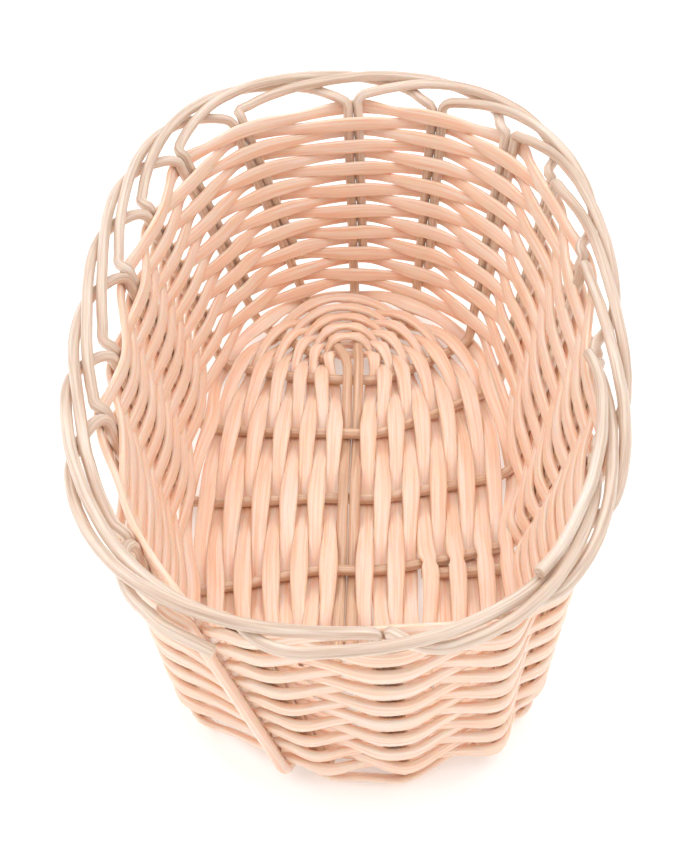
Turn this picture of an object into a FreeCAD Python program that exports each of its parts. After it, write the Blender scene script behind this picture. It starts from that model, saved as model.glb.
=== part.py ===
"""Oval woven fruit basket: round rods for the stakes and border, flattened strips for the weave.

Every piece lies in one frame, in millimetres: +Z up, +Y along the basket, the origin under
its middle on the plane that it stands on.
"""
import FreeCAD, Part
import math
import os

Vector = FreeCAD.Vector

# ---------------------------------------------------------------- driving dimensions
# name, value, what it is (millimetres, degrees or counts)
DIMENSIONS = [
    ("rod_diameter", 3.3, "round rods: cross rods, centre rods, end stakes"),
    ("floor_strip_width", 5.6, "flattened weaver where it lies over a rod of the floor"),
    ("wall_strip_width", 5.2, "flattened weaver where it lies over a rod of the wall"),
    ("strip_waist", 3.6, "flattened weaver halfway between two rods"),
    ("strip_thickness", 1.7, "flattened weaver"),
    ("clearance", 0.2, "gap between a rod and what lies on it"),
    ("floor_half_length", 105.5, "middle of the floor to the corner of the end stakes"),
    ("floor_half_width", 51.0, "middle of the floor to the corner of the side stakes"),
    ("floor_crown", 2.2, "rise of the cross rods at the middle of the floor"),
    ("crown_flat", 9.0, "half width of the level top of the crown"),
    ("crown_rounds", 7.0, "weaver rounds over the floor's raised middle"),
    ("cross_rod_spacing", 30.5, "between neighbouring cross rods"),
    ("crossing_rest", 5.0, "half length over which a centre rod lies flat on a cross rod"),
    ("inserted_start_across", 6.0, "inserted stake's inner end from the centre rod beside it"),
    ("inserted_start_gap", 10.0, "last cross rod to an inserted stake's inner end"),
    ("inserted_gap", 1.0, "innermost round to an inserted stake's inner end"),
    ("side_start_level", 3.5, "weaver round at which the inserted side stake starts"),
    ("side_start_gap", 0.6, "gap between the side stake's inner end and its cross rod"),
    ("bend_radius", 5.0, "rods where they turn up into the wall"),
    ("rim_half_length", 120.3, "middle to the middle of the border at the ends"),
    ("rim_half_width", 71.6, "middle to the middle of the border at the sides"),
    ("rim_roundness", 2.72, "power of the rim's oval, 2 is an ellipse"),
    ("rim_height", 79.0, "middle of the border above the table"),
    ("border_drop", 4.2, "middle of the border above the tops of the stakes"),
    ("stake_set_in", 3.0, "tops of the stakes inside the border's middle"),
    ("outer_set_out", 2.5, "top of the outer stake outside the border's middle"),
    ("wall_lean", 2.0, "tops of the stakes nearer the +X side than the border"),
    ("floor_rounds", 10, "weaver rounds in the floor"),
    ("wall_rounds", 17, "weaver rounds in the wall above the corner round"),
    ("first_side_round", 5.6, "first weaver round from the long axis"),
    ("first_end_gap", 13.4, "last cross rod to the first weaver round, on the centre rods"),
    ("corner_reach", 5.8, "last floor round and first wall round from the corner"),
    ("top_round_drop", 3.0, "top weaver round below the top of the stakes"),
    ("rounds_per_length", 2, "rounds woven with one length of strip"),
    ("full_pitch", 4.2, "round spacing at which the strip keeps its full width"),
    ("hold", 1.1, "half length over which a strip lies flat on a rod"),
    ("slanted_hold", 1.0, "added to that where a strip crosses a rod at 45 degrees"),
    ("corner_ease", 1.2, "extra room for the strip inside the corner bend"),
    ("tail_turn", 1.0, "tail's turn above the tops of the stakes"),
    ("tail_depth", 58.0, "how far a border rod's end is pushed down beside a stake"),
]

STAKE_COUNT = 19
SIDE_STAKE = 1              # pushed in beside the cross rod of the next stake
OUTER_STAKE = 15            # the weavers always pass inside this one
SHORT_STAKE = 14            # its border rod ends outside, after one stake
CROSS_ROD_COUNT = 5
FLOOR_STRIP_COUNT = 3       # lengths of strip woven into the floor
PASSED_BY_TAIL = 3          # a border rod's end goes down beside the third stake on
INSERTED_STAKES = [("side_stake_right", 1), ("end_stake_far_right", 6), ("end_stake_far_left", 9),
                   ("end_stake_near_left", 15), ("end_stake_near_right", 18)]
BESIDE = {6: 7, 9: 8, 15: 16, 18: 17}       # centre stake beside each inserted end stake
PAIRED_ORDERS = (1, 5, 11)  # woven together with the stake before them over the floor

LARGE_ARC = 60.0            # wanted radius where a rod turns gently
ARC_SHARE = 0.45            # share of a run that an arc may take
STRAIGHT = 1e-4             # smallest turn, in radians, that gets an arc
FLATNESS = 1e-7             # how far off a plane the corner of a flat face may lie
END_GAP = 0.1               # strip end to the middle of the stake that hides it

# Middles of the cross rods from the middle of the floor, in spacings of the cross rods.
ROW_PLACES = [-2.05, -1.05, -0.05, 0.93, 1.80]

# The 19 stakes, anticlockwise from the nearest one on the +X side, each pulled a little out of
# place by hand: corner across and along the floor in its half sizes, then place along the rim
# in nineteenths of its girth.
STAKE_PLACES = [(0.99, -0.77, -2.55), (1.01, -0.26, -1.52), (1.00, -0.17, -0.36),
                (1.00, 0.13, 1.01), (0.95, 0.52, 2.24), (0.77, 0.74, 3.12),
                (0.41, 0.92, 4.04), (-0.01, 0.975, 4.91), (-0.34, 0.94, 6.18),
                (-0.65, 0.81, 7.06), (-0.87, 0.61, 7.96), (-0.96, 0.31, 8.91),
                (-0.99, -0.02, 9.97), (-0.96, -0.38, 10.75), (-0.78, -0.81, 12.22),
                (-0.28, -1.00, 13.12), (-0.06, -0.99, 13.46), (0.35, -1.00, 14.58),
                (0.82, -0.905, 15.52)]

# A border rod's way round the rim: stakes passed, outward and upward of the border's middle.
BORDER_WAY = [(0.05, -2.4, -2.7), (0.22, 2.6, -2.6), (0.42, 5.2, -2.3), (0.70, 5.7, -0.5),
              (1.00, 5.4, 0.8), (1.35, 4.3, 1.7), (1.70, 2.8, 2.3), (2.05, 1.5, 1.6),
              (2.35, 0.4, 0.2), (2.65, -1.0, -1.5), (2.88, -2.4, -3.0)]
SHORT_WAY = [(0.05, -2.4, -2.7), (0.22, 2.6, -2.7), (0.42, 5.2, -3.1), (0.70, 5.8, -4.2),
             (0.97, 5.5, -6.0)]
OUTER_WAY = [(-0.08, 2.0, -3.6), (-0.20, 1.3, -3.5)]
FILLER_WAY = [(0.30, 0.6, 4.3), (0.60, 0.0, 4.0), (0.90, -0.9, 3.9), (1.40, -0.9, 3.9),
              (1.90, -0.9, 3.9), (2.40, -1.4, 3.4), (2.70, -3.0, 2.0), (2.88, -4.6, 0.6)]
FILLER_STAKE = 18           # where the border's extra rod starts


def make_sheet(doc):
    """The driving dimensions, one named cell each."""
    sheet = doc.addObject("Spreadsheet::Sheet", "Dimensions")
    for row, (name, value, note) in enumerate(DIMENSIONS, start=1):
        sheet.set("A%d" % row, name)
        sheet.set("B%d" % row, str(value))
        sheet.set("C%d" % row, note)
        sheet.setAlias("B%d" % row, name)
    doc.recompute()
    return sheet


class Sizes:
    """The sheet's cells as plain numbers, and what follows from them."""

    def __init__(self, sheet):
        for name, _value, _note in DIMENSIONS:
            setattr(self, name, float(sheet.get(name)))
        self.floor_rounds = int(self.floor_rounds)
        self.wall_rounds = int(self.wall_rounds)
        self.rounds_per_length = int(self.rounds_per_length)
        self.rod_radius = self.rod_diameter / 2
        # middle of a rod to the middle of the strip that lies on it
        self.strip_offset = self.rod_radius + self.clearance + self.strip_thickness / 2
        # strips that pass under a rod touch the table
        self.floor_level = self.strip_offset + self.strip_thickness / 2
        self.rod_pitch = self.rod_diameter + self.clearance
        self.rounds = self.floor_rounds + 1 + self.wall_rounds
        self.stake_top = self.rim_height - self.border_drop


# ---------------------------------------------------------------- plan curves
class Rim:
    """The border's middle line, measured by girth."""

    STEPS = 1440

    def __init__(self, size):
        self.height = size.rim_height
        points = []
        for step in range(self.STEPS + 1):
            angle = 2 * math.pi * step / self.STEPS
            cosine = math.cos(angle)
            sine = math.sin(angle)
            power = 2 / size.rim_roundness
            points.append(Vector(size.rim_half_width * math.copysign(abs(cosine) ** power, cosine),
                                 size.rim_half_length * math.copysign(abs(sine) ** power, sine), 0))
        self.points = points
        self.run = [0.0]
        for before, after in zip(points, points[1:]):
            self.run.append(self.run[-1] + (after - before).Length)

    def at(self, place, outward=0.0, upward=0.0):
        """The point at a place along the rim, in nineteenths of its girth."""
        goal = (place / STAKE_COUNT % 1.0) * self.run[-1]
        low = 0
        high = self.STEPS
        while high - low > 1:
            middle = (low + high) // 2
            if self.run[middle] <= goal:
                low = middle
            else:
                high = middle
        share = (goal - self.run[low]) / (self.run[high] - self.run[low])
        ahead = self.points[high] - self.points[low]
        normal = Vector(ahead.y, -ahead.x, 0).normalize()
        point = self.points[low] + ahead * share + normal * outward
        return Vector(point.x, point.y, self.height + upward)


def stake_on(number, count):
    """Number of the stake some places on round the border, without the outer stake."""
    border = [stake for stake in range(STAKE_COUNT) if stake != OUTER_STAKE]
    return border[(border.index(number) + count) % len(border)]


def rim_place(number, passed):
    """Place along the rim of a border rod that has passed some stakes since its own."""
    whole = int(math.floor(passed))
    start = STAKE_PLACES[stake_on(number, whole)][2]
    gap = (STAKE_PLACES[stake_on(number, whole + 1)][2] - start) % STAKE_COUNT
    return start + gap * (passed - whole)


# ---------------------------------------------------------------- stakes
class Stake:
    """One upright: its way over the floor, its corner and its top."""

    def __init__(self, number, floor_way, first_round, rim, size, start_level=0.0):
        self.number = number
        self.size = size
        self.floor_way = floor_way
        self.first_round = first_round
        self.start_level = start_level
        self.corner = self.floor_way[-1]
        outward = size.outer_set_out if number == OUTER_STAKE else -size.stake_set_in
        top = rim.at(STAKE_PLACES[number][2], outward)
        self.top = Vector(top.x + size.wall_lean, top.y, size.stake_top)
        self.wall = (self.top - self.corner).normalize()

    def on_floor(self, back):
        """Point and outward direction at a distance back from the corner."""
        left = back
        for near, far in zip(self.floor_way[::-1], self.floor_way[-2::-1]):
            length = (near - far).Length
            if left <= length:
                ahead = (near - far).normalize()
                return near - ahead * left, ahead
            left -= length
        ahead = (self.floor_way[1] - self.floor_way[0]).normalize()
        return self.floor_way[0] - ahead * left, ahead

    def crossing(self, level):
        """Point on the rod, and the rod's direction, where a weaver round crosses it.

        Whole levels are rounds. Only the outer stake is crossed between rounds, where the
        weaver steps up, so it has no crossing in the bend itself.
        """
        size = self.size
        gap = 0.5 if self.number == OUTER_STAKE else 1.0
        last_on_floor = size.floor_rounds - gap
        if level <= last_on_floor:
            share = max(level, 0) / last_on_floor
            return self.on_floor(self.first_round + (size.corner_reach - self.first_round) * share)
        if level == size.floor_rounds:
            return self.in_bend()
        share = (level - size.floor_rounds - gap) / (size.wall_rounds - 2 * gap + 1)
        low = self.corner.z + size.corner_reach
        height = low + (size.stake_top - size.top_round_drop - low) * share
        return self.corner + self.wall * ((height - self.corner.z) / self.wall.z), self.wall

    def tail_end(self):
        """Height above which a border rod's tail lies beside this stake."""
        if self.number in (OUTER_STAKE, stake_on(SHORT_STAKE, PASSED_BY_TAIL)):
            return self.top.z
        return self.top.z - self.wall.z * self.size.tail_depth - self.size.wall_strip_width / 2

    def in_bend(self):
        """Middle of the bend from the floor into the wall."""
        floor = self.on_floor(0)[1]
        depth = self.size.bend_radius * (1 / math.cos(floor.getAngle(self.wall) / 2) - 1)
        inward = (self.wall - floor).normalize()
        return self.corner + inward * depth, (self.wall + floor).normalize()


def floor_corner(number, size):
    """Where a stake turns up from the floor into the wall."""
    across, along, _place = STAKE_PLACES[number]
    return Vector(across * size.floor_half_width, along * size.floor_half_length, size.floor_level)


def toward(start, finish, distance, height):
    """The point some way from one point toward another, at a height of its own."""
    point = start + (finish - start).normalize() * distance
    return Vector(point.x, point.y, height)


def back_at(level, first_round, size):
    """Distance back from the corner to a floor round."""
    return first_round + (size.corner_reach - first_round) * level / (size.floor_rounds - 1)


def cross_rod_half(row, number, size):
    """Way of half a cross rod over the crown to its corner, and its first round."""
    corner = floor_corner(number, size)
    along = ROW_PLACES[row] * size.cross_rod_spacing
    top = size.floor_level + size.floor_crown
    middle = Vector(0, along, top)
    flat = Vector(math.copysign(size.crown_flat, corner.x), along, top)
    first = (flat - middle).Length + (corner - flat).Length - size.first_side_round
    level = size.crown_rounds - abs(row - CROSS_ROD_COUNT // 2)
    foot = toward(corner, flat, back_at(level, first, size), size.floor_level)
    return [middle, flat, foot, corner], first


def side_stake_floor(cross_way, cross_first, size):
    """Way of the inserted side stake beside its cross rod's way, and its first round."""
    _middle, flat, foot, cross_corner = cross_way
    corner = floor_corner(SIDE_STAKE, size)
    run = (cross_corner - flat).normalize()
    aside = Vector(run.y, -run.x, 0).normalize() * (size.rod_pitch + size.side_start_gap)
    back = back_at(size.side_start_level, cross_first, size)
    share = (back - (foot - cross_corner).Length) / (flat - foot).Length
    start = toward(cross_corner, flat, back, size.floor_level + size.floor_crown * share) + aside
    beside_foot = start + (corner - start) * (1 - (foot - cross_corner).Length / back)
    way = [start, Vector(beside_foot.x, beside_foot.y, size.floor_level), corner]
    length = (corner - start).Length - size.inserted_gap
    share = size.side_start_level / (size.floor_rounds - 1)
    return way, (length - size.corner_reach * share) / (1 - share)


def centre_rod_half(number, size):
    """Way of half a centre rod, over and under the cross rods, to its corner, and first round."""
    corner = floor_corner(number, size)
    end = int(math.copysign(1, corner.y))
    side = 1 if number in (7, 17) else -1
    middle = size.floor_level + size.floor_crown
    beside = side * size.rod_pitch / 2
    half = CROSS_ROD_COUNT // 2
    way = [Vector(beside, 0, middle + size.rod_pitch)]
    for row in range(half + 1):
        level = middle + (size.rod_pitch if row % 2 == 0 else -size.rod_pitch)
        for part in (-1, 1):
            along = ROW_PLACES[half + end * row] * size.cross_rod_spacing + end * part * size.crossing_rest
            if along * end > 0:
                way.append(Vector(beside, along, level))
    way.append(corner)
    return way, (way[-1] - way[-2]).Length + size.crossing_rest - size.first_end_gap


def inserted_stake_floor(number, size):
    """Way of an inserted end stake over the floor, from beside a centre rod; first round."""
    corner = floor_corner(number, size)
    inner, outer = centre_rod_half(BESIDE[number], size)[0][-2:]
    share = (size.inserted_start_gap - size.crossing_rest) / abs(outer.y - inner.y)
    start = inner + (outer - inner) * share
    start.x += math.copysign(size.inserted_start_across, corner.x)
    start.z = size.floor_level + size.floor_crown
    return [start, corner], (corner - start).Length + size.inserted_gap


def make_stakes(rim, size):
    """All stakes, anticlockwise from the nearest one on the +X side."""
    rows = {0: 0, 2: 1, 3: 2, 4: 3, 5: 4, 10: 4, 11: 3, 12: 2, 13: 1, 14: 0}
    stakes = []
    for number in range(STAKE_COUNT):
        start_level = 0.0
        if number in rows:
            way, first = cross_rod_half(rows[number], number, size)
        elif number == SIDE_STAKE:
            way, first = side_stake_floor(*cross_rod_half(1, number + 1, size), size)
            start_level = size.side_start_level
        elif number in (7, 8, 16, 17):
            way, first = centre_rod_half(number, size)
        else:
            way, first = inserted_stake_floor(number, size)
        stakes.append(Stake(number, way, first, rim, size, start_level))
    return stakes


# ---------------------------------------------------------------- round rods
def rounded_path(points, radius, tight):
    """Straight runs joined by tangent arcs; tight gives some corners a radius of their own."""
    edges = []
    start = points[0]
    for index in range(1, len(points) - 1):
        corner = points[index]
        back = points[index - 1] - corner
        ahead = points[index + 1] - corner
        turn = math.pi - back.getAngle(ahead)
        if turn < STRAIGHT:
            continue
        wanted = tight.get(index, radius) * math.tan(turn / 2)
        reach = min(wanted, ARC_SHARE * back.Length, ARC_SHARE * ahead.Length)
        first = corner + back.normalize() * reach
        last = corner + ahead.normalize() * reach
        bend = reach / math.tan(turn / 2)
        inward = ((first + last) * 0.5 - corner).normalize()
        middle = corner + inward * (math.hypot(bend, reach) - bend)
        edges.append(Part.LineSegment(start, first).toShape())
        edges.append(Part.Arc(first, middle, last).toShape())
        start = last
    edges.append(Part.LineSegment(start, points[-1]).toShape())
    return Part.Wire(edges)


def round_rim(number, way, rim):
    """Points of a rod laid round the rim."""
    return [rim.at(rim_place(number, passed), outward, upward) for passed, outward, upward in way]


def upper_way(stake, stakes, rim, size):
    """A stake's way from its top round the border and down beside the third stake on."""
    if stake.number == OUTER_STAKE:
        place = STAKE_PLACES[OUTER_STAKE][2]
        return [stake.top] + [rim.at(place + passed, outward, upward)
                              for passed, outward, upward in OUTER_WAY]
    if stake.number == SHORT_STAKE:
        return [stake.top] + round_rim(stake.number, SHORT_WAY, rim)
    guide = stakes[stake_on(stake.number, PASSED_BY_TAIL)]
    beside = guide.top - top_run(guide, stakes) * size.rod_pitch
    return ([stake.top] + round_rim(stake.number, BORDER_WAY, rim)
            + [beside + guide.wall * size.tail_turn, beside - guide.wall * size.tail_depth])


def top_run(stake, stakes):
    """Direction along the wall, square to a stake, anticlockwise past its top."""
    run = stakes[stake_on(stake.number, 1)].top - stakes[stake_on(stake.number, -1)].top
    return (run - stake.wall * run.dot(stake.wall)).normalize()


def add_rod(doc, name, points, corners, size):
    """A round rod swept along its way; its diameter is bound to the sheet."""
    tight = {index: size.bend_radius for index in corners}
    way = doc.addObject("Part::Feature", name + "_way")
    way.Shape = rounded_path(points, LARGE_ARC, tight)
    section = doc.addObject("Part::Circle", name + "_section")
    section.setExpression("Radius", "Dimensions.rod_diameter / 2")
    ahead = points[1] - points[0]
    section.Placement = FreeCAD.Placement(points[0], FreeCAD.Rotation(Vector(0, 0, 1), ahead))
    rod = doc.addObject("Part::Sweep", name)
    rod.Sections = [section]
    rod.Spine = (way, ["Edge%d" % (number + 1) for number in range(len(way.Shape.Edges))])
    rod.Solid = True
    rod.Label = name
    return rod


def add_through_rod(doc, name, first, second, stakes, rim, size):
    """A rod that lies across the floor and rises as a stake at both ends."""
    there = first.floor_way + upper_way(first, stakes, rim, size)
    back = second.floor_way[1:] + upper_way(second, stakes, rim, size)
    points = back[::-1] + there
    corner_back = len(back) - len(second.floor_way[1:])
    corner_there = len(back) + len(first.floor_way) - 1
    return add_rod(doc, name, points, (1, corner_back, corner_there, len(points) - 2), size)


def add_end_stake(doc, name, stake, stakes, rim, size):
    """A short stake pushed in beside the centre rods."""
    points = stake.floor_way + upper_way(stake, stakes, rim, size)
    return add_rod(doc, name, points, (len(stake.floor_way) - 1, len(points) - 2), size)


# ---------------------------------------------------------------- flattened weavers
def passes_inside(stake_number, round_number, size):
    """Whether a weaver round lies over a rod on the floor, or inside it in the wall."""
    if stake_number == OUTER_STAKE:
        return True
    order = (stake_number - OUTER_STAKE - 1) % STAKE_COUNT
    if round_number <= size.floor_rounds:
        paired = order - sum(order >= first for first in PAIRED_ORDERS)
        return (round_number + paired) % 2 == 1
    return (round_number + order) % 2 == 0


class Station:
    """One cross-section of a strip: its middle, its two half sides and its corners."""

    def __init__(self, middle, across, outward, width, thickness):
        self.middle = middle
        self.across = across
        half_width = across * (width / 2)
        half_thickness = outward * (thickness / 2)
        self.corners = [middle + half_width + half_thickness, middle - half_width + half_thickness,
                        middle - half_width - half_thickness, middle + half_width - half_thickness]


def steps_of(first_round, last_round, stakes):
    """Stakes and levels that a length of strip passes, from one hidden end to the other."""
    steps = [(stakes[OUTER_STAKE], first_round - 0.5)]
    for round_number in range(first_round, last_round + 1):
        for order in range(1, STAKE_COUNT):
            stake = stakes[(OUTER_STAKE + order) % STAKE_COUNT]
            if round_number >= stake.start_level:
                steps.append((stake, round_number))
        steps.append((stakes[OUTER_STAKE], round_number + 0.5))
    return steps


def neighbour(stake, side, level, stakes):
    """Where a strip crosses the next rod on one side of a stake."""
    if stake.number == OUTER_STAKE:
        level += side * 0.5
    other = stakes[(stake.number + side) % STAKE_COUNT]
    if level < other.start_level:
        other = stakes[(other.number + side) % STAKE_COUNT]
    return other.crossing(level)[0]


class Lie:
    """How a strip lies where it crosses a rod."""

    def __init__(self, stake, level, stakes, size):
        point, up = stake.crossing(level)
        self.over_tail = level > size.floor_rounds and point.z > stake.tail_end()
        run = neighbour(stake, 1, level, stakes) - neighbour(stake, -1, level, stakes)
        if level < size.floor_rounds:
            run.z = 0
        if self.over_tail:
            aside = top_run(stake, stakes).cross(up)
            run = run - aside * run.dot(aside)
        self.run = run.normalize()
        self.outward = self.run.cross(up)
        slant = abs(self.run.dot(up)) / self.outward.Length
        self.outward = self.outward.normalize()
        self.across = self.outward.cross(self.run)
        offset = size.strip_offset
        if passes_inside(stake.number, level, size):
            if level == size.floor_rounds:
                offset += size.corner_ease
            offset = -offset
        self.middle = point + self.outward * offset
        lower = min(max(level, 0), size.rounds - 2)
        pitch = (stake.crossing(lower + 1)[0] - stake.crossing(lower)[0]).Length
        self.narrow = min(1.0, pitch / size.full_pitch)
        on_floor = level < size.floor_rounds - 1
        self.width = size.floor_strip_width if on_floor else size.wall_strip_width
        if stake.number == OUTER_STAKE:
            self.width = size.strip_waist
        self.hold = size.hold + slant * size.slanted_hold

    def station(self, along, size):
        """The strip's cross-section some way along it."""
        return Station(self.middle + self.run * along, self.across, self.outward,
                       self.width * self.narrow, size.strip_thickness)


def weaver_stations(first_round, last_round, stakes, size):
    """Cross-sections of a strip: two where it lies on each rod and one halfway to the next."""
    steps = steps_of(first_round, last_round, stakes)
    stations = []
    last = None
    for index, (stake, level) in enumerate(steps):
        lie = Lie(stake, level, stakes, size)
        before = -lie.hold - (size.rod_pitch if lie.over_tail else 0)
        after = lie.hold
        if index == 0:
            before = END_GAP
        if index == len(steps) - 1:
            after = -END_GAP
        first = lie.station(before, size)
        if last:
            turn = last.run.getAngle(lie.run)
            waist = size.strip_waist * min(last.narrow, lie.narrow) * math.cos(turn)
            stations.append(halfway(stations[-1], first, waist, size.strip_thickness))
        stations += [first, lie.station(after, size)]
        last = lie
    return stations


def halfway(near, far, width, thickness):
    """The cross-section halfway between two others."""
    run = (far.middle - near.middle).normalize()
    across = near.across + far.across
    across = (across - run * across.dot(run)).normalize()
    return Station((near.middle + far.middle) * 0.5, across, run.cross(across), width, thickness)


def facets(corners):
    """One flat face through four corners, or two triangles where they don't lie flat."""
    first, second, third, fourth = corners
    normal = (second - first).cross(third - first).normalize()
    if abs((fourth - first).dot(normal)) < FLATNESS:
        return [Part.Face(Part.makePolygon([first, second, third, fourth, first]))]
    return [Part.Face(Part.makePolygon([first, second, third, first])),
            Part.Face(Part.makePolygon([first, third, fourth, first]))]


def strip_solid(stations):
    """A closed strip of flat faces through its cross-sections."""
    faces = facets(stations[0].corners[::-1]) + facets(stations[-1].corners)
    for near, far in zip(stations, stations[1:]):
        for side in range(4):
            following = (side + 1) % 4
            faces += facets([near.corners[side], near.corners[following],
                             far.corners[following], far.corners[side]])
    solid = Part.Solid(Part.Shell(faces))
    if solid.Volume < 0:
        solid.reverse()
    return solid


def add_weaver(doc, name, first_round, last_round, stakes, size):
    """One length of flattened strip woven for some rounds."""
    weaver = doc.addObject("Part::Feature", name)
    weaver.Shape = strip_solid(weaver_stations(first_round, last_round, stakes, size))
    weaver.Label = name
    return weaver


# ---------------------------------------------------------------- the basket
def lengths_of_strip(size):
    """Name, first round and last round of each length of strip, floor first."""
    lengths = []
    for count in range(FLOOR_STRIP_COUNT):
        start = math.ceil(size.floor_rounds * count / FLOOR_STRIP_COUNT)
        end = math.ceil(size.floor_rounds * (count + 1) / FLOOR_STRIP_COUNT)
        lengths.append(("floor_weaver_%d" % (count + 1), start, end - 1))
    count = math.ceil((size.rounds - size.floor_rounds) / size.rounds_per_length)
    for number in range(count):
        start = size.floor_rounds + number * size.rounds_per_length
        last = min(start + size.rounds_per_length, size.rounds) - 1
        lengths.append(("wall_weaver_%d" % (number + 1), start, last))
    return lengths


def build(doc):
    """Every piece of the basket, as document objects."""
    sheet = make_sheet(doc)
    size = Sizes(sheet)
    rim = Rim(size)
    stakes = make_stakes(rim, size)
    pieces = []
    for row, (right, left) in enumerate(((0, 14), (2, 13), (3, 12), (4, 11), (5, 10)), start=1):
        pieces.append(add_through_rod(doc, "cross_rod_%d" % row, stakes[right], stakes[left],
                                      stakes, rim, size))
    pieces.append(add_through_rod(doc, "centre_rod_right", stakes[7], stakes[17], stakes, rim, size))
    pieces.append(add_through_rod(doc, "centre_rod_left", stakes[8], stakes[16], stakes, rim, size))
    for name, number in INSERTED_STAKES:
        pieces.append(add_end_stake(doc, name, stakes[number], stakes, rim, size))
    filler = round_rim(FILLER_STAKE, FILLER_WAY, rim)
    pieces.append(add_rod(doc, "border_rod", filler, (), size))
    for name, start, last in lengths_of_strip(size):
        pieces.append(add_weaver(doc, name, start, last, stakes, size))
    doc.recompute()
    return pieces


def check_and_export(doc, pieces):
    """Stop on any failed object or bad solid, then write one STEP file for each piece."""
    for thing in doc.Objects:
        if "Invalid" in thing.State or "Error" in thing.State:
            raise RuntimeError("%s failed: %s" % (thing.Name, thing.State))
    for piece in pieces:
        if piece.Shape.isNull() or not piece.Shape.isValid() or piece.Shape.Volume <= 0:
            raise RuntimeError("%s has no valid solid" % piece.Label)
    os.makedirs("parts", exist_ok=True)
    for piece in pieces:
        piece.Shape.exportStep("parts/%s.step" % piece.Label)


document = FreeCAD.newDocument("FruitBasket")
check_and_export(document, build(document))
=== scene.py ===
"""Looks of the woven fruit basket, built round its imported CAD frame. Metres, +Z up.

Each CAD rod and strip gives the way that it takes. Over that way the scene lays the real
cane: round rods with cut ends, and soft-edged strips that bend smoothly over and under them.
Both have fine ribs along their length.
"""

import heapq
import math
import random

import bmesh
import bpy
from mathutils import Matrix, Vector, kdtree


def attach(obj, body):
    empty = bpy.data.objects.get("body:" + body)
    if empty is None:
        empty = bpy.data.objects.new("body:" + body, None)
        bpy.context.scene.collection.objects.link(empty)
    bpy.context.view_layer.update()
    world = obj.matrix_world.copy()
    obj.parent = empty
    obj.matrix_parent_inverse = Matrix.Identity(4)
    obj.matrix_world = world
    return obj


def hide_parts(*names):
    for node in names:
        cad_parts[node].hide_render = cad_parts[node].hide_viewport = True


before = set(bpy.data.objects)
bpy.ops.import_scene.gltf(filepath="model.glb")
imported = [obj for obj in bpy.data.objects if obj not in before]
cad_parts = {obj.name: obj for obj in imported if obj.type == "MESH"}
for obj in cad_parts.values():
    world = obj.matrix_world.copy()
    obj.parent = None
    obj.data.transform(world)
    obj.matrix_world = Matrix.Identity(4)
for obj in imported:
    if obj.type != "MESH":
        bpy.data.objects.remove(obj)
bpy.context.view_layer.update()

MM = 0.001
TURN = 2 * math.pi

# ---------------------------------------------------------------- ways read from the CAD pieces
WELD = 1e-6                     # vertices closer than this are one
SAME_PLANE = 0.9999             # least cosine between two faces of one flat end
ROD_CELL = 0.2 * MM             # middles of a rod about this close are taken together
ROD_SUPPORT = 12                # how many vertices have to agree on a middle
ROD_BALANCE = 0.35 * MM         # how far the middle of those vertices may lie from it
CHAIN_WINDOW = 9.0 * MM         # how far ahead the next point of a rod is looked for
ROD_GROUP = 0.8 * MM            # least distance between two points of its middle line
SHARPEST_TURN = math.radians(105)   # a rod never turns more sharply than this
LONG_RUN = 12.0 * MM            # rods run straight between points further apart than this
RUN_STEP = 2.5 * MM             # between the points put into such a run
STATIONS_PER_ROD = 3            # two cross-sections on a rod and one halfway to the next
END_LAYERS = 3                  # layers of vertices back from a strip's end that show its run
LONG_HOLD = 5.2 * MM            # a strip lying straight for longer passes over two rods
STRAIGHTENING = 3               # how often a strip's sideways wavers are halved

# ---------------------------------------------------------------- shape of the cane
RIBS = 8                        # lengthwise ribs round a rod or strip
GRAIN_RANGE_MM = 500            # the grain of each piece starts somewhere in this length

ROD_STEP = 1.5 * MM             # between rings of a rod
ROD_SIDES = 16
ROD_RADIUS = 1.65 * MM
ROD_RIB = 0.016                 # depth of the ribs, as a share of the radius
ROD_LOBES = 3                   # a rod is a little out of round,
ROD_LOBE = 0.012                # by this share of the radius
ROD_UNEVEN = 0.025              # share by which the radius varies along the rod
SWELLINGS = (31.0 * MM, 13.0 * MM)  # how slowly it does, in two waves
CUT_BEVEL = 0.25 * MM           # length of the soft edge of a cut end
CUT_FACE = 0.82                 # radius of the flat inside that edge, as a share of the rod's

STRIP_STEP = 1.6 * MM           # between rings of a strip
STRIP_SIDES = 32
STRIP_THICKNESS = 1.95 * MM     # at the crown of its rounded section
STRIP_EDGE = 0.62               # power of the section across the strip
STRIP_FACE = 0.80               # and through it, where 1 is an ellipse and 0 a rectangle
STRIP_RIB = 0.075               # depth of the ribs, as a share of half the thickness
STRIP_UNEVEN = 0.04             # share by which the width varies
STRIP_ROLL = math.radians(5)    # how far a strip tips halfway between two rods
STRIP_DRIFT = 0.18 * MM         # how far it strays along the rods
FLOOR_FILL = 1.24               # how much wider than its CAD waist a strip is between two rods
WALL_FILL = 1.22

# ---------------------------------------------------------------- camera and light
CAMERA_PLACE = Vector((0.0095, -0.4080, 0.4097))
CAMERA_LENS_MM = 95.0
SENSOR_MM = 36.0
CAMERA_DOWN = math.radians(42.5)
CAMERA_TURN = math.radians(-1.41)
CAMERA_REACH = 20.0
# name, place, diameter, watts
LIGHTS = [("key", (0.62, -0.05, 1.10), 1.1, 3.3),
          ("fill", (-0.75, 0.10, 0.90), 1.2, 4.0),
          ("top", (0.0, 0.15, 1.30), 1.8, 5.2)]
WORLD_LIGHT = 0.72
TABLE_HALF = 6.0
TABLE_WHITE = 0.95
TABLE_ROUGHNESS = 0.9
TABLE_GLOW = 0.25               # the white table is lit from below too

# ---------------------------------------------------------------- colours and skin
WHITE = (1, 1, 1)
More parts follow.
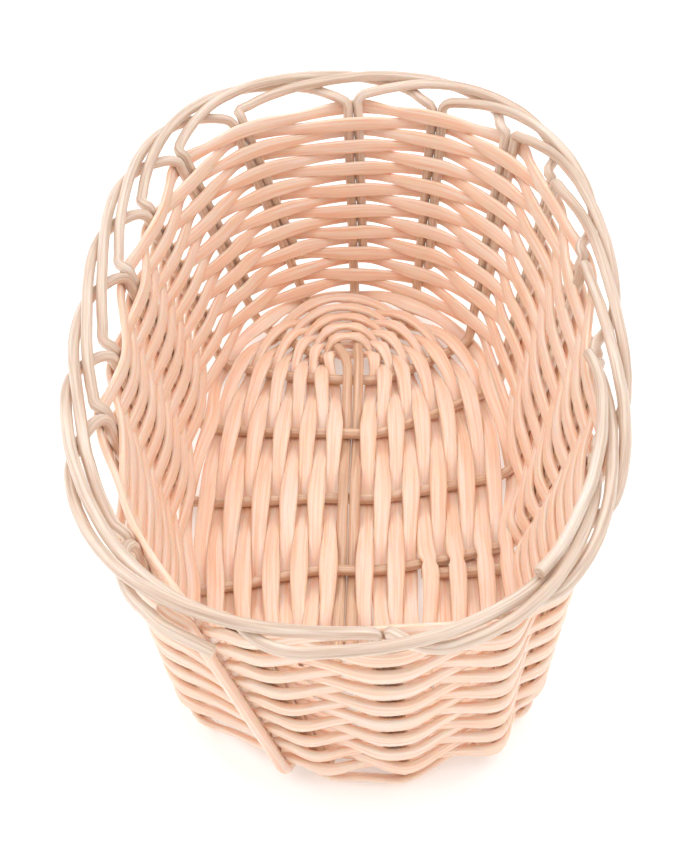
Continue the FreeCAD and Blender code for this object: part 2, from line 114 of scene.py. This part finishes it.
# Places along a noise value, and the colour there.
ROD_TONES = [(0.30, (0.72, 0.54, 0.42)), (0.55, (0.81, 0.66, 0.54)), (0.75, (0.89, 0.77, 0.675))]
ROD_FIBRES = [(0.36, (0.78, 0.70, 0.64)), (0.56, WHITE)]
STRIP_TONES = [(0.30, (0.955, 0.70, 0.53)), (0.52, (0.96, 0.74, 0.60)), (0.72, (0.965, 0.79, 0.685))]
STRIP_FIBRES = [(0.36, (0.96, 0.80, 0.69)), (0.55, WHITE)]
ROUGHNESS = [(0.3, (0.47, 0.47, 0.47)), (0.7, (0.62, 0.62, 0.62))]
# Painted shade: tints that darken the cane towards the table, which have faded out at the full height.
ROD_LOW_PAINTED_SHADE = (1.0, 0.84, 0.70)
STRIP_LOW_PAINTED_SHADE = (1.0, 0.97, 0.95)
FULL_HEIGHT = 75 * MM
PALE_ROD = "end_stake_near_left"    # outside the weave, and as pale as the strips
# Noise along the cane: how much longer than wide its marks are, marks per millimetre, detail.
BLOTCHES = (14.0, 0.45, 3.0)
FIBRES = (45.0, 1.5, 4.0)
RELIEF = (60.0, 1.9, 3.0)
RELIEF_STRENGTH = 0.6
RELIEF_DEPTH = 0.25 * MM
GLOW = 0.50                     # share of light that passes through the cane's outer layer
GLOW_REACH = (1.0, 0.45, 0.22)  # how far it goes in red, green and blue, in glow depths
GLOW_DEPTH = 1.5 * MM
SHEEN = 0.8                     # strength of the fibres' own reflection
SKIN = 0.6                      # the thin glossy skin over them
SKIN_ROUGHNESS = 0.35


# ---------------------------------------------------------------- reading the CAD pieces
def welded(node):
    """A node's mesh with its split vertices joined."""
    mesh = bmesh.new()
    mesh.from_mesh(node.data)
    bmesh.ops.remove_doubles(mesh, verts=mesh.verts, dist=WELD)
    bmesh.ops.dissolve_degenerate(mesh, dist=WELD, edges=mesh.edges)
    mesh.normal_update()
    mesh.verts.ensure_lookup_table()
    mesh.verts.index_update()
    return mesh


def layers_from(start):
    """Rings of vertices, each one edge further along the piece than the one before."""
    seen = set(start)
    layers = [list(start)]
    while layers[-1]:
        following = []
        for vertex in layers[-1]:
            for edge in vertex.link_edges:
                other = edge.other_vert(vertex)
                if other not in seen:
                    seen.add(other)
                    following.append(other)
        layers.append(following)
    return layers[:-1]


def mean(points):
    return sum(points, Vector()) / len(points)


def middle_of(vertices):
    return mean([vertex.co for vertex in vertices])


def reaches(start):
    """How far over the surface each vertex lies from the nearest of the start's, nearest first."""
    reach = {vertex: 0.0 for vertex in start}
    queue = [(0.0, vertex.index, vertex) for vertex in start]
    heapq.heapify(queue)
    while queue:
        distance, _index, vertex = heapq.heappop(queue)
        if distance > reach[vertex]:
            continue
        for edge in vertex.link_edges:
            other = edge.other_vert(vertex)
            further = distance + edge.calc_length()
            if further < reach.get(other, math.inf):
                reach[other] = further
                heapq.heappush(queue, (further, other.index, other))
    return sorted(reach.items(), key=lambda item: item[1])


def flat_part(first):
    """All vertices of the flat surface that a face belongs to."""
    faces = [first]
    for face in faces:
        for edge in face.edges:
            faces += [other for other in edge.link_faces
                      if other not in faces and other.normal.dot(first.normal) > SAME_PLANE]
    vertices = {vertex for face in faces for vertex in face.verts}
    return sorted(vertices, key=lambda vertex: vertex.index)


def cut_end(vertex):
    """All vertices of a rod's flat round end, from one of them."""
    return max([flat_part(face) for face in vertex.link_faces], key=len)


def outward(vertex):
    """Which way a round surface faces at a vertex, whatever slivers meet there."""
    return sum([face.normal * face.calc_area() for face in vertex.link_faces], Vector()).normalized()


def rod_centres(node):
    """Points along the middle line of a round rod, from one cut end to the other."""
    mesh = welded(node)
    start = cut_end(reaches([mesh.verts[0]])[-1][0])
    ordered = reaches(start)
    finish = cut_end(ordered[-1][0])
    first = middle_of(start)
    last = middle_of(finish)
    ends = set(start + finish)
    body = [(vertex.co.copy(), reach, vertex.co - outward(vertex) * ROD_RADIUS)
            for vertex, reach in ordered if vertex not in ends]
    mesh.free()
    return chained(first, agreed_middles(body)) + [last]


def agreed_middles(body):
    """Middles of a rod that a whole ring of its vertices agrees on, each with its reach."""
    middles = tree_of([middle for _place, _reach, middle in body])
    cells = {}
    for _place, reach, middle in body:
        ring = [body[index][0] for _co, index, _distance in middles.find_range(middle, ROD_CELL)]
        if len(ring) >= ROD_SUPPORT and (mean(ring) - middle).length < ROD_BALANCE:
            cells[tuple(round(value / ROD_CELL) for value in middle)] = (reach, middle)
    return cells.values()


def tree_of(places):
    tree = kdtree.KDTree(len(places))
    for index, place in enumerate(places):
        tree.insert(place, index)
    tree.balance()
    return tree


def chained(first, places):
    """Places put in order along a rod, each with its reach, from the first on."""
    left = sorted(places, key=lambda item: item[0])
    way = [first]
    while left:
        limit = left[0][0] + CHAIN_WINDOW
        near = min([item[1] for item in left if item[0] <= limit],
                   key=lambda place: (place - way[-1]).length)
        way.append(near)
        left = [item for item in left if (item[1] - near).length > ROD_GROUP]
    return way


def strip_end(mesh):
    """The four corners of one end of a strip."""
    far = layers_from([mesh.verts[0]])[-1][0]
    ahead = far.co - middle_of(layers_from([far])[END_LAYERS])
    face = max(far.link_faces, key=lambda face: abs(face.normal.dot(ahead)))
    corners = list(face.verts)
    for edge in face.edges:
        for other in edge.link_faces:
            if other.normal.dot(face.normal) > SAME_PLANE:
                corners += [vertex for vertex in other.verts if vertex not in corners]
    return corners


def strip_stations(node):
    """Middle, direction across and width of a strip at each of its cross-sections."""
    mesh = welded(node)
    stations = []
    across = None
    for layer in layers_from(strip_end(mesh)):
        corner = layer[0].co
        others = sorted((vertex.co for vertex in layer[1:]), key=lambda place: (place - corner).length)
        edges = [place - corner for place in others[:2]]
        if across is None:
            edge = edges[1]
        else:
            edge = max(edges, key=lambda edge: abs(edge.normalized().dot(across)))
            edge = edge if edge.dot(across) > 0 else -edge
        across = edge.normalized()
        stations.append((middle_of(layer), across.copy(), edge.length))
    mesh.free()
    return stations


# ---------------------------------------------------------------- smooth ways
def smooth_way(points, step):
    """A smooth curve through points: place, and place along the list of points, of each ring."""
    tangents = [tangent_at(points, index) for index in range(len(points))]
    rings = []
    for index in range(len(points) - 1):
        start = points[index]
        finish = points[index + 1]
        length = (finish - start).length
        count = max(1, round(length / step))
        for number in range(count):
            share = number / count
            rings.append((hermite(start, tangents[index] * length, finish,
                                  tangents[index + 1] * length, share), index + share))
    rings.append((points[-1], len(points) - 1.0))
    return rings


def tangent_at(points, index):
    """Direction of the way at a point, which follows its shorter side more."""
    point = points[index]
    before = points[max(index - 1, 0)]
    after = points[min(index + 1, len(points) - 1)]
    near = (point - before).length
    far = (after - point).length
    if near == 0 or far == 0:
        return (after - before).normalized()
    return ((point - before) / near * far + (after - point) / far * near) / (near + far)


def hermite(start, start_pull, finish, finish_pull, share):
    square = share * share
    cube = square * share
    return (start * (2 * cube - 3 * square + 1) + start_pull * (cube - 2 * square + share)
            + finish * (3 * square - 2 * cube) + finish_pull * (cube - square))


def thinned(points, step):
    """Points at least a step apart, with both ends kept."""
    kept = [points[0]]
    for point in points[1:-1]:
        if (point - kept[-1]).length > step and (point - points[-1]).length > step:
            kept.append(point)
    return kept + [points[-1]]


def turn_at(points, index):
    ahead = points[index + 1] - points[index]
    return ahead.angle(points[index] - points[index - 1])


def sharpest_turn(points):
    return max(range(1, len(points) - 1), key=lambda index: turn_at(points, index))


def eased(points):
    """The same points without those where the way would double back on itself."""
    points = list(points)
    sharpest = sharpest_turn(points)
    while turn_at(points, sharpest) > SHARPEST_TURN:
        del points[sharpest]
        sharpest = sharpest_turn(points)
    return points


def filled(points):
    """The same points with more of them along each long straight run."""
    full = [points[0]]
    for point in points[1:]:
        start = full[-1]
        length = (point - start).length
        if length > LONG_RUN:
            count = math.ceil(length / RUN_STEP)
            full += [start.lerp(point, number / count) for number in range(1, count)]
        full.append(point)
    return full


def direction(places, index):
    before = places[max(index - 1, 0)]
    after = places[min(index + 1, len(places) - 1)]
    return (after - before).normalized()


def distances(places):
    """How far along their way places lie from the first."""
    along = [0.0]
    for before, after in zip(places, places[1:]):
        along.append(along[-1] + (after - before).length)
    return along


def between(first, second, share):
    return first + (second - first) * share


def angles_round(sides, offset=0.0):
    return [TURN * (number + offset) / sides for number in range(sides)]


# ---------------------------------------------------------------- meshes
def cane_mesh(name, rings, grain):
    """A closed tube through rings of points; grain holds each point's place in the cane, in mm."""
    sides = len(rings[0])
    vertices = [point for ring in rings for point in ring]
    faces = []
    for ring in range(len(rings) - 1):
        for side in range(sides):
            following = (side + 1) % sides
            faces.append((ring * sides + side, ring * sides + following,
                          (ring + 1) * sides + following, (ring + 1) * sides + side))
    last = (len(rings) - 1) * sides
    faces.append(tuple(range(sides - 1, -1, -1)))
    faces.append(tuple(range(last, last + sides)))
    mesh = bpy.data.meshes.new(name)
    mesh.from_pydata(vertices, [], faces)
    mesh.polygons.foreach_set("use_smooth", [True] * (len(faces) - 2) + [False] * 2)
    places = mesh.attributes.new("grain", "FLOAT_VECTOR", "POINT")
    places.data.foreach_set("vector", [value for place in grain for value in place])
    # share of the full height, which the materials use for painted shade near the table
    heights = mesh.attributes.new("height", "FLOAT", "POINT")
    heights.data.foreach_set("value", [min(max(point.z / FULL_HEIGHT, 0.0), 1.0) for point in vertices])
    mesh.update()
    return mesh


def rod_mesh(name, centres, seed):
    """A slightly uneven round rod with soft cut ends."""
    chance = random.Random(seed)
    centres = filled(eased(thinned(centres, ROD_STEP)))
    places = [place for place, _share in smooth_way(centres, ROD_STEP)]
    phases = [chance.uniform(0, TURN) for _count in range(3)]
    start = chance.uniform(0, GRAIN_RANGE_MM)
    side = direction(places, 0).orthogonal().normalized()
    rings = []
    grain = []
    for index, along in enumerate(distances(places)):
        ahead = direction(places, index)
        side = (side - ahead * side.dot(ahead)).normalized()
        radius = uneven_radius(along, phases)
        for shift, share in end_slices(index, len(places) - 1):
            middle = places[index] + ahead * shift
            rings.append(rod_ring(middle, side, ahead.cross(side), radius * share, phases[2]))
            grain += rod_grain(start + along / MM)
    return cane_mesh(name, rings, grain)


def uneven_radius(along, phases):
    """A rod's radius some way along it."""
    waves = [math.sin(along / length + phase) for length, phase in zip(SWELLINGS, phases)]
    return ROD_RADIUS * (1 + ROD_UNEVEN * sum(waves) / len(waves))


def end_slices(index, last):
    """Shift along a rod and share of its radius of each ring at a place: two at a cut end."""
    if index == 0:
        return [(0.0, CUT_FACE), (CUT_BEVEL, 1.0)]
    if index == last:
        return [(-CUT_BEVEL, 1.0), (0.0, CUT_FACE)]
    return [(0.0, 1.0)]


def rod_ring(middle, side, up, radius, phase):
    """One ring of a ribbed rod that is a little out of round."""
    ring = []
    for angle in angles_round(ROD_SIDES):
        lobe = ROD_LOBE * math.sin(ROD_LOBES * angle + phase)
        reach = radius * (1 + lobe + ROD_RIB * math.cos(RIBS * angle))
        ring.append(middle + side * (math.cos(angle) * reach) + up * (math.sin(angle) * reach))
    return ring


def rod_grain(along):
    reach = ROD_RADIUS / MM
    return [(along, math.cos(angle) * reach, math.sin(angle) * reach)
            for angle in angles_round(ROD_SIDES)]


def strip_controls(stations, fill, chance):
    """Points that a strip passes through, with its direction across and width there."""
    controls = []
    for index in range(0, len(stations) - 1, STATIONS_PER_ROD):
        first, second = stations[index:index + 2]
        if (second[0] - first[0]).length > LONG_HOLD:
            controls += [first, second]
        else:
            controls.append(((first[0] + second[0]) / 2, first[1], first[2]))
        if index + 2 < len(stations):
            place, across, width = stations[index + 2]
            drift = across * chance.uniform(-STRIP_DRIFT, STRIP_DRIFT)
            controls.append((place + drift, across, width * fill))
    controls[0] = stations[0]
    controls[-1] = stations[-1]
    return controls


def straightened(controls):
    """The same controls with their sideways wavers taken out, while steady bends stay."""
    for _pass in range(STRAIGHTENING):
        sways = [0.0] * len(controls)
        for index in range(1, len(controls) - 1):
            chord = (controls[index + 1][0] - controls[index - 1][0]).normalized()
            offset = controls[index][0] - controls[index - 1][0]
            sways[index] = (offset - chord * offset.dot(chord)).dot(controls[index][1])
        for index in range(1, len(controls) - 1):
            place, across, width = controls[index]
            waver = sways[index] - (sways[index - 1] + sways[index + 1]) / 2
            controls[index] = (place - across * (waver / 2), across, width)
    return controls


def strip_mesh(name, stations, fill, seed):
    """A flattened strip with rounded, ribbed faces and soft edges."""
    chance = random.Random(seed)
    controls = straightened(strip_controls(stations, fill, chance))
    rolls = [chance.uniform(-STRIP_ROLL, STRIP_ROLL) if index % 2 else 0.0
             for index in range(len(controls))]
    widths = [width * (1 + chance.uniform(-STRIP_UNEVEN, STRIP_UNEVEN))
              for _place, _across, width in controls]
    start = chance.uniform(0, GRAIN_RANGE_MM)
    way = smooth_way([place for place, _across, _width in controls], STRIP_STEP)
    places = [place for place, _share in way]
    rings = []
    grain = []
    for index, along in enumerate(distances(places)):
        place, share = way[index]
        low = min(int(share), len(controls) - 2)
        part = share - low
        part = part * part * (3 - 2 * part)
        ahead = direction(places, index)
        across = controls[low][1].lerp(controls[low + 1][1], part)
        across = (across - ahead * across.dot(ahead)).normalized()
        section = strip_section(between(widths[low], widths[low + 1], part) / 2)
        roll = between(rolls[low], rolls[low + 1], part)
        rings.append(strip_ring(place, across, ahead.cross(across), roll, section))
        grain += [(start + along / MM, wide / MM, thick / MM) for wide, thick in section]
    return cane_mesh(name, rings, grain)


def strip_section(half_width):
    """How far across a strip, and how far out of its middle, each point of a section lies."""
    section = []
    for angle in angles_round(STRIP_SIDES, 0.5):
        cosine = math.cos(angle)
        sine = math.sin(angle)
        wide = half_width * math.copysign(abs(cosine) ** STRIP_EDGE, cosine)
        thick = STRIP_THICKNESS / 2 * math.copysign(abs(sine) ** STRIP_FACE, sine)
        section.append((wide, thick * (1 + STRIP_RIB * math.cos(RIBS * angle))))
    return section


def strip_ring(place, across, out, roll, section):
    """A strip's section in its place, tipped by its roll, and flattened where it rests."""
    tipped_across = across * math.cos(roll) + out * math.sin(roll)
    tipped_out = out * math.cos(roll) - across * math.sin(roll)
    ring = [place + tipped_across * wide + tipped_out * thick for wide, thick in section]
    for point in ring:
        point.z = max(point.z, 0.0)
    return ring


# ---------------------------------------------------------------- materials
def ramp(tree, stops, value):
    """Colours from a value, by (place, colour) stops."""
    node = tree.nodes.new("ShaderNodeValToRGB")
    elements = node.color_ramp.elements
    for element, (place, colour) in zip(elements, (stops[0], stops[-1])):
        element.position = place
        element.color = (*colour, 1)
    for place, colour in stops[1:-1]:
        elements.new(place).color = (*colour, 1)
    tree.links.new(value, node.inputs["Fac"])
    return node.outputs["Color"]


def attribute(tree, name, kind):
    node = tree.nodes.new("ShaderNodeAttribute")
    node.attribute_name = name
    return node.outputs[kind]


def grain_noise(tree, stretch, scale, detail):
    """Noise drawn out along the cane; stretch is how much longer than wide its marks are."""
    mapping = tree.nodes.new("ShaderNodeMapping")
    mapping.inputs["Scale"].default_value = (scale / stretch, scale, scale)
    noise = tree.nodes.new("ShaderNodeTexNoise")
    noise.inputs["Scale"].default_value = 1.0
    noise.inputs["Detail"].default_value = detail
    tree.links.new(attribute(tree, "grain", "Vector"), mapping.inputs["Vector"])
    tree.links.new(mapping.outputs["Vector"], noise.inputs["Vector"])
    return noise.outputs["Fac"]


def multiplied(tree, first, second):
    """The product of two colours, which a mix node takes at its sockets 6 and 7."""
    node = tree.nodes.new("ShaderNodeMix")
    node.data_type = "RGBA"
    node.blend_type = "MULTIPLY"
    node.inputs[0].default_value = 1.0
    tree.links.new(first, node.inputs[6])
    tree.links.new(second, node.inputs[7])
    return node.outputs[2]


def fine_grooves(tree):
    """The lengthwise relief of the fibres."""
    node = tree.nodes.new("ShaderNodeBump")
    node.inputs["Strength"].default_value = RELIEF_STRENGTH
    node.inputs["Distance"].default_value = RELIEF_DEPTH
    tree.links.new(grain_noise(tree, *RELIEF), node.inputs["Height"])
    return node.outputs["Normal"]


def cane_material(name, tones, fibre_tones, low_painted_shade):
    """Peeled cane: soft blotches along it, fine lengthwise fibres, a dull sheen, and painted shade
    towards the table.
    """
    material = bpy.data.materials.new(name)
    material.use_nodes = True
    tree = material.node_tree
    shader = tree.nodes["Principled BSDF"]
    shader.inputs["Subsurface Weight"].default_value = GLOW
    shader.inputs["Subsurface Radius"].default_value = GLOW_REACH
    shader.inputs["Subsurface Scale"].default_value = GLOW_DEPTH
    shader.inputs["Specular IOR Level"].default_value = SHEEN
    shader.inputs["Coat Weight"].default_value = SKIN
    shader.inputs["Coat Roughness"].default_value = SKIN_ROUGHNESS
    fine = grain_noise(tree, *FIBRES)
    blotches = ramp(tree, tones, grain_noise(tree, *BLOTCHES))
    colour = multiplied(tree, blotches, ramp(tree, fibre_tones, fine))
    # painted shade: darker towards the table, from each point's share of the full height
    painted_shade = ramp(tree, [(0.0, low_painted_shade), (1.0, WHITE)], attribute(tree, "height", "Fac"))
    tree.links.new(multiplied(tree, colour, painted_shade), shader.inputs["Base Color"])
    tree.links.new(ramp(tree, ROUGHNESS, fine), shader.inputs["Roughness"])
    tree.links.new(fine_grooves(tree), shader.inputs["Normal"])
    return material


def table_material():
    material = bpy.data.materials.new("floor")
    material.use_nodes = True
    shader = material.node_tree.nodes["Principled BSDF"]
    shader.inputs["Base Color"].default_value = (TABLE_WHITE, TABLE_WHITE, TABLE_WHITE, 1)
    shader.inputs["Roughness"].default_value = TABLE_ROUGHNESS
    shader.inputs["Emission Color"].default_value = (*WHITE, 1)
    shader.inputs["Emission Strength"].default_value = TABLE_GLOW
    return material


# ---------------------------------------------------------------- the scene
def add_object(name, mesh, material):
    thing = bpy.data.objects.new(name, mesh)
    mesh.materials.append(material)
    bpy.context.scene.collection.objects.link(thing)
    return thing


def dress_basket():
    """Lay real cane over each CAD piece."""
    rod = cane_material("cane_rod", ROD_TONES, ROD_FIBRES, ROD_LOW_PAINTED_SHADE)
    strip = cane_material("cane_strip", STRIP_TONES, STRIP_FIBRES, STRIP_LOW_PAINTED_SHADE)
    for seed, (name, node) in enumerate(sorted(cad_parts.items())):
        if "weaver" in name:
            fill = FLOOR_FILL if name.startswith("floor") else WALL_FILL
            mesh = strip_mesh("cane_" + name, strip_stations(node), fill, seed)
            piece = add_object("cane_" + name, mesh, strip)
        else:
            mesh = rod_mesh("cane_" + name, rod_centres(node), seed)
            piece = add_object("cane_" + name, mesh, strip if name == PALE_ROD else rod)
        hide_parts(name)
        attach(piece, "root")


def add_camera():
    data = bpy.data.cameras.new("camera")
    data.sensor_fit = "HORIZONTAL"
    data.sensor_width = SENSOR_MM
    data.lens = CAMERA_LENS_MM
    data.clip_end = CAMERA_REACH
    camera = bpy.data.objects.new("camera", data)
    camera.location = CAMERA_PLACE
    camera.rotation_euler = (math.pi / 2 - CAMERA_DOWN, 0, -CAMERA_TURN)
    bpy.context.scene.collection.objects.link(camera)
    bpy.context.scene.camera = camera


def add_floor():
    half = TABLE_HALF
    mesh = bpy.data.meshes.new("floor")
    mesh.from_pydata([(-half, -half, 0), (half, -half, 0), (half, half, 0), (-half, half, 0)], [],
                     [(0, 1, 2, 3)])
    table = table_material()
    add_object("floor", mesh, table)


def add_lights():
    for name, place, size, energy in LIGHTS:
        data = bpy.data.lights.new(name, "AREA")
        data.shape = "DISK"
        data.size = size
        data.energy = energy
        light = bpy.data.objects.new(name, data)
        light.location = place
        light.rotation_euler = Vector(place).to_track_quat("Z", "Y").to_euler()
        bpy.context.scene.collection.objects.link(light)
    world = bpy.data.worlds.new("world")
    world.use_nodes = True
    background = world.node_tree.nodes["Background"]
    background.inputs["Color"].default_value = (*WHITE, 1)
    background.inputs["Strength"].default_value = WORLD_LIGHT
    bpy.context.scene.world = world


dress_basket()
add_camera()
add_floor()
add_lights()
bpy.context.scene.view_settings.view_transform = "Standard"
